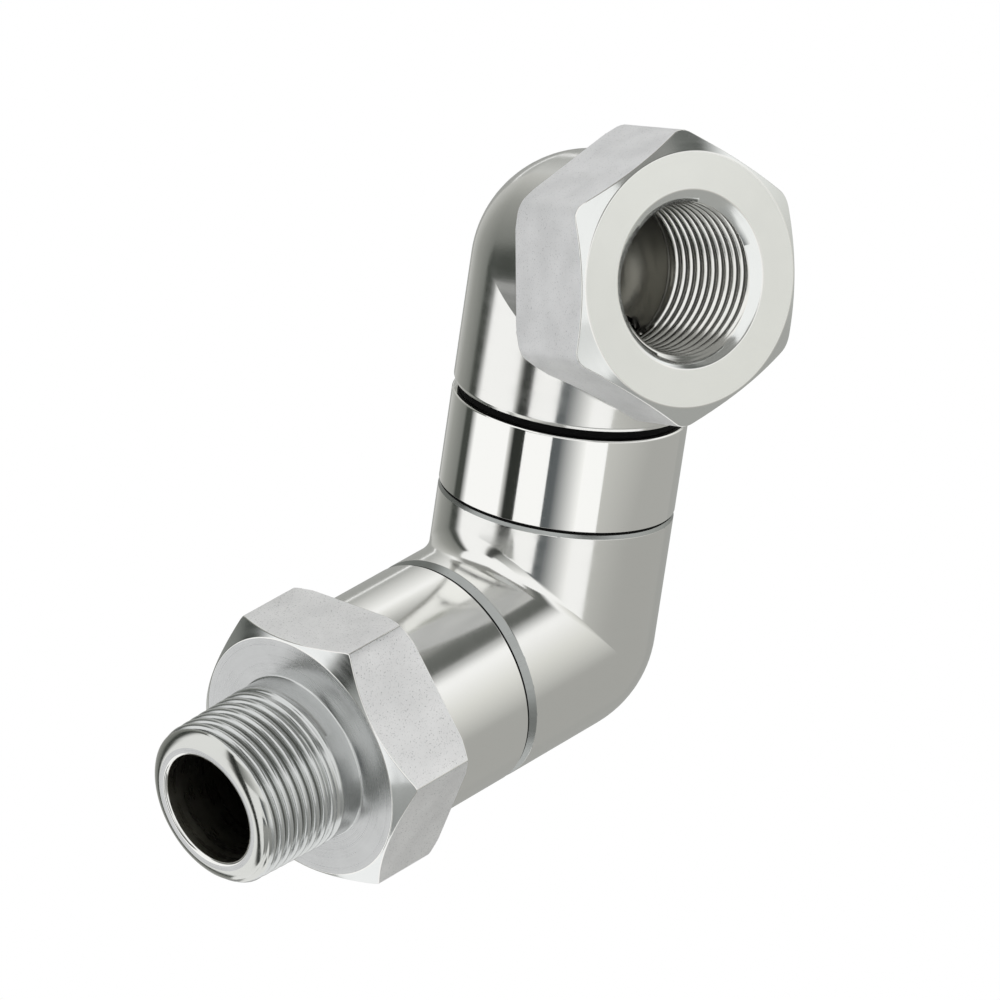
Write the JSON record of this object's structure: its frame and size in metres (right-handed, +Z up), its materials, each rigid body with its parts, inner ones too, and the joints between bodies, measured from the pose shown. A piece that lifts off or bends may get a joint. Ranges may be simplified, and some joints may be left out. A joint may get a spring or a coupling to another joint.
{
  "type": "gas swivel fitting",
  "caption": "Pipe fitting with two angled elbows that turn on sealed swivels, from a threaded hexagon nipple to a threaded hexagon socket.",
  "frame": {"origin": "on the inlet pipe thread's axis, at its hand-tight gauge plane, 8.6 mm in from the nipple's end", "axes": "-X along the inlet thread, out of the nipple; +Z up, in the plane of the middle elbow; the socket opens towards -Y"},
  "size_m": [0.11, 0.0547, 0.1069],
  "materials": {
    "plated_steel": "turned and blasted, bright nickel plated",
    "polished_steel": "polished, bright nickel plated",
    "bearing_bronze": "turned bearing bronze",
    "spring_steel": "hardened spring steel, oiled",
    "nitrile_rubber": "moulded black nitrile rubber",
    "acetal": "turned natural acetal"
  },
  "bodies": {
    "inlet": {"inlet_adapter": "plated_steel", "inlet_thrust_washer": "acetal", "inlet_front_bush": "bearing_bronze", "inlet_rear_bush": "bearing_bronze"},
    "middle": {"middle_elbow": "plated_steel", "inlet_dust_seal": "nitrile_rubber", "inlet_retaining_ring": "spring_steel", "inlet_front_o_ring": "nitrile_rubber", "inlet_rear_o_ring": "nitrile_rubber", "outlet_dust_seal": "nitrile_rubber", "outlet_retaining_ring": "spring_steel", "outlet_front_o_ring": "nitrile_rubber", "outlet_rear_o_ring": "nitrile_rubber"},
    "outlet": {"outlet_housing": "polished_steel", "outlet_thrust_washer": "acetal", "outlet_front_bush": "bearing_bronze", "outlet_rear_bush": "bearing_bronze", "outlet_gasket": "nitrile_rubber", "outlet_elbow": "plated_steel"}
  },
  "joints": [
    {"name": "inlet_swivel", "type": "hinge", "parent": "inlet", "child": "middle", "pos_m": [0.06485, 0, 0], "axis": [-1, 0, 0], "continuous": true},
    {"name": "outlet_swivel", "type": "hinge", "parent": "middle", "child": "outlet", "pos_m": [0.06485, 0, 0], "axis": [0.2588, 0, 0.9659], "continuous": true}
  ]
}
